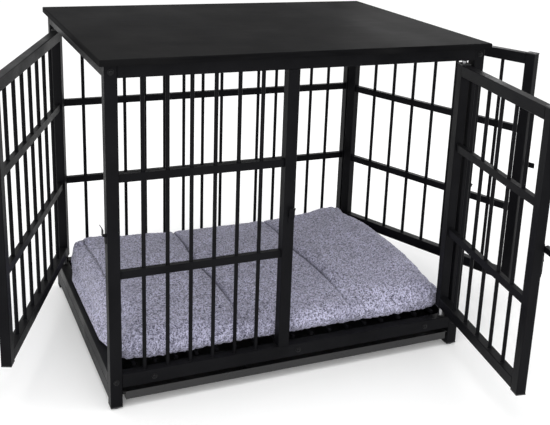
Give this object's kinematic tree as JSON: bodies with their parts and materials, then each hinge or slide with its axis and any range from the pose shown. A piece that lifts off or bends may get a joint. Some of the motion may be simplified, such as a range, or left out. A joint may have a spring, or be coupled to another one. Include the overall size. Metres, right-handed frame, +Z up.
{
  "type": "pet crate",
  "caption": "Furniture-style pet crate: black tube cage under a board top, barred walls and swinging doors with drop latches, slide-out tray and padded floor mat.",
  "frame": {"origin": "on the floor under the middle of the cage, between the four feet", "axes": "+X to the right seen from the front, +Y from the front to the back, +Z up"},
  "size_m": [1.5255, 1.2383, 0.88],
  "materials": {
    "black_paint": "black powder coat, satin",
    "board": "black foil on particle board, soft sheen",
    "pad": "short lavender-grey plush",
    "tray": "black enamelled sheet",
    "feet": "moulded",
    "knobs": "moulded",
    "bolts": "blackened",
    "zinc": "zinc plated",
    "bushes": "moulded nylon"
  },
  "bodies": {
    "cage": {"top_board": "board", "front_left_post": "black_paint", "front_right_post": "black_paint", "back_left_post": "black_paint", "back_right_post": "black_paint", "front_mid_post": "black_paint", "front_top_beam": "black_paint", "back_top_beam": "black_paint", "left_top_beam": "black_paint", "right_top_beam": "black_paint", "front_bottom_beam": "black_paint", "back_bottom_beam": "black_paint", "left_bottom_beam": "black_paint", "right_bottom_beam": "black_paint", "front_panel_rails": "black_paint", "front_panel_bars": "black_paint", "back_panel_rails": "black_paint", "back_panel_bars": "black_paint", "floor_rods": "black_paint", "floor_crossbars": "black_paint", "tray_runners": "black_paint", "latch_keepers": "black_paint", "foot_glides": "feet", "cushion": "pad", "frame_bolts": "bolts", "beam_end_nuts": "zinc", "front_beam_nuts": "zinc", "board_screws": "zinc", "pivot_bushes": "bushes"},
    "tray": {"tray": "tray"},
    "front_door": {"front_door_frame": "black_paint", "front_door_rails": "black_paint", "front_door_bars": "black_paint", "front_door_caps": "feet", "front_door_pivot_pins": "zinc", "front_latch_plate": "black_paint"},
    "front_latch": {"front_latch_slider": "black_paint", "front_latch_knob": "knobs"},
    "left_door": {"left_door_frame": "black_paint", "left_door_rails": "black_paint", "left_door_bars": "black_paint", "left_door_caps": "feet", "left_door_pivot_pins": "zinc", "left_latch_plate": "black_paint"},
    "left_latch": {"left_latch_slider": "black_paint", "left_latch_knob": "knobs"},
    "right_door": {"right_door_frame": "black_paint", "right_door_rails": "black_paint", "right_door_bars": "black_paint", "right_door_caps": "feet", "right_door_pivot_pins": "zinc", "right_latch_plate": "black_paint"},
    "right_latch": {"right_latch_slider": "black_paint", "right_latch_knob": "knobs"}
  },
  "joints": [
    {"name": "tray_slide", "type": "slide", "parent": "cage", "child": "tray", "axis": [0, -1, 0], "range_m": [0, 0.6]},
    {"name": "front_door_hinge", "type": "hinge", "parent": "cage", "child": "front_door", "pos_m": [0.449, -0.36, 0.473], "axis": [0, 0, 1], "range_deg": [-81.4, 28.6]},
    {"name": "front_latch_drop", "type": "slide", "parent": "front_door", "child": "front_latch", "axis": [0, 0, 1], "range_m": [-0.022, 0]},
    {"name": "left_door_hinge", "type": "hinge", "parent": "cage", "child": "left_door", "pos_m": [-0.485, 0.324, 0.473], "axis": [0, 0, -1], "range_deg": [-21.8, 88.2]},
    {"name": "left_latch_drop", "type": "slide", "parent": "left_door", "child": "left_latch", "axis": [0, 0, 1], "range_m": [-0.022, 0]},
    {"name": "right_door_hinge", "type": "hinge", "parent": "cage", "child": "right_door", "pos_m": [0.485, 0.324, 0.473], "axis": [0, 0, 1], "range_deg": [-22.5, 87.5]},
    {"name": "right_latch_drop", "type": "slide", "parent": "right_door", "child": "right_latch", "axis": [0, 0, 1], "range_m": [-0.022, 0]}
  ]
}
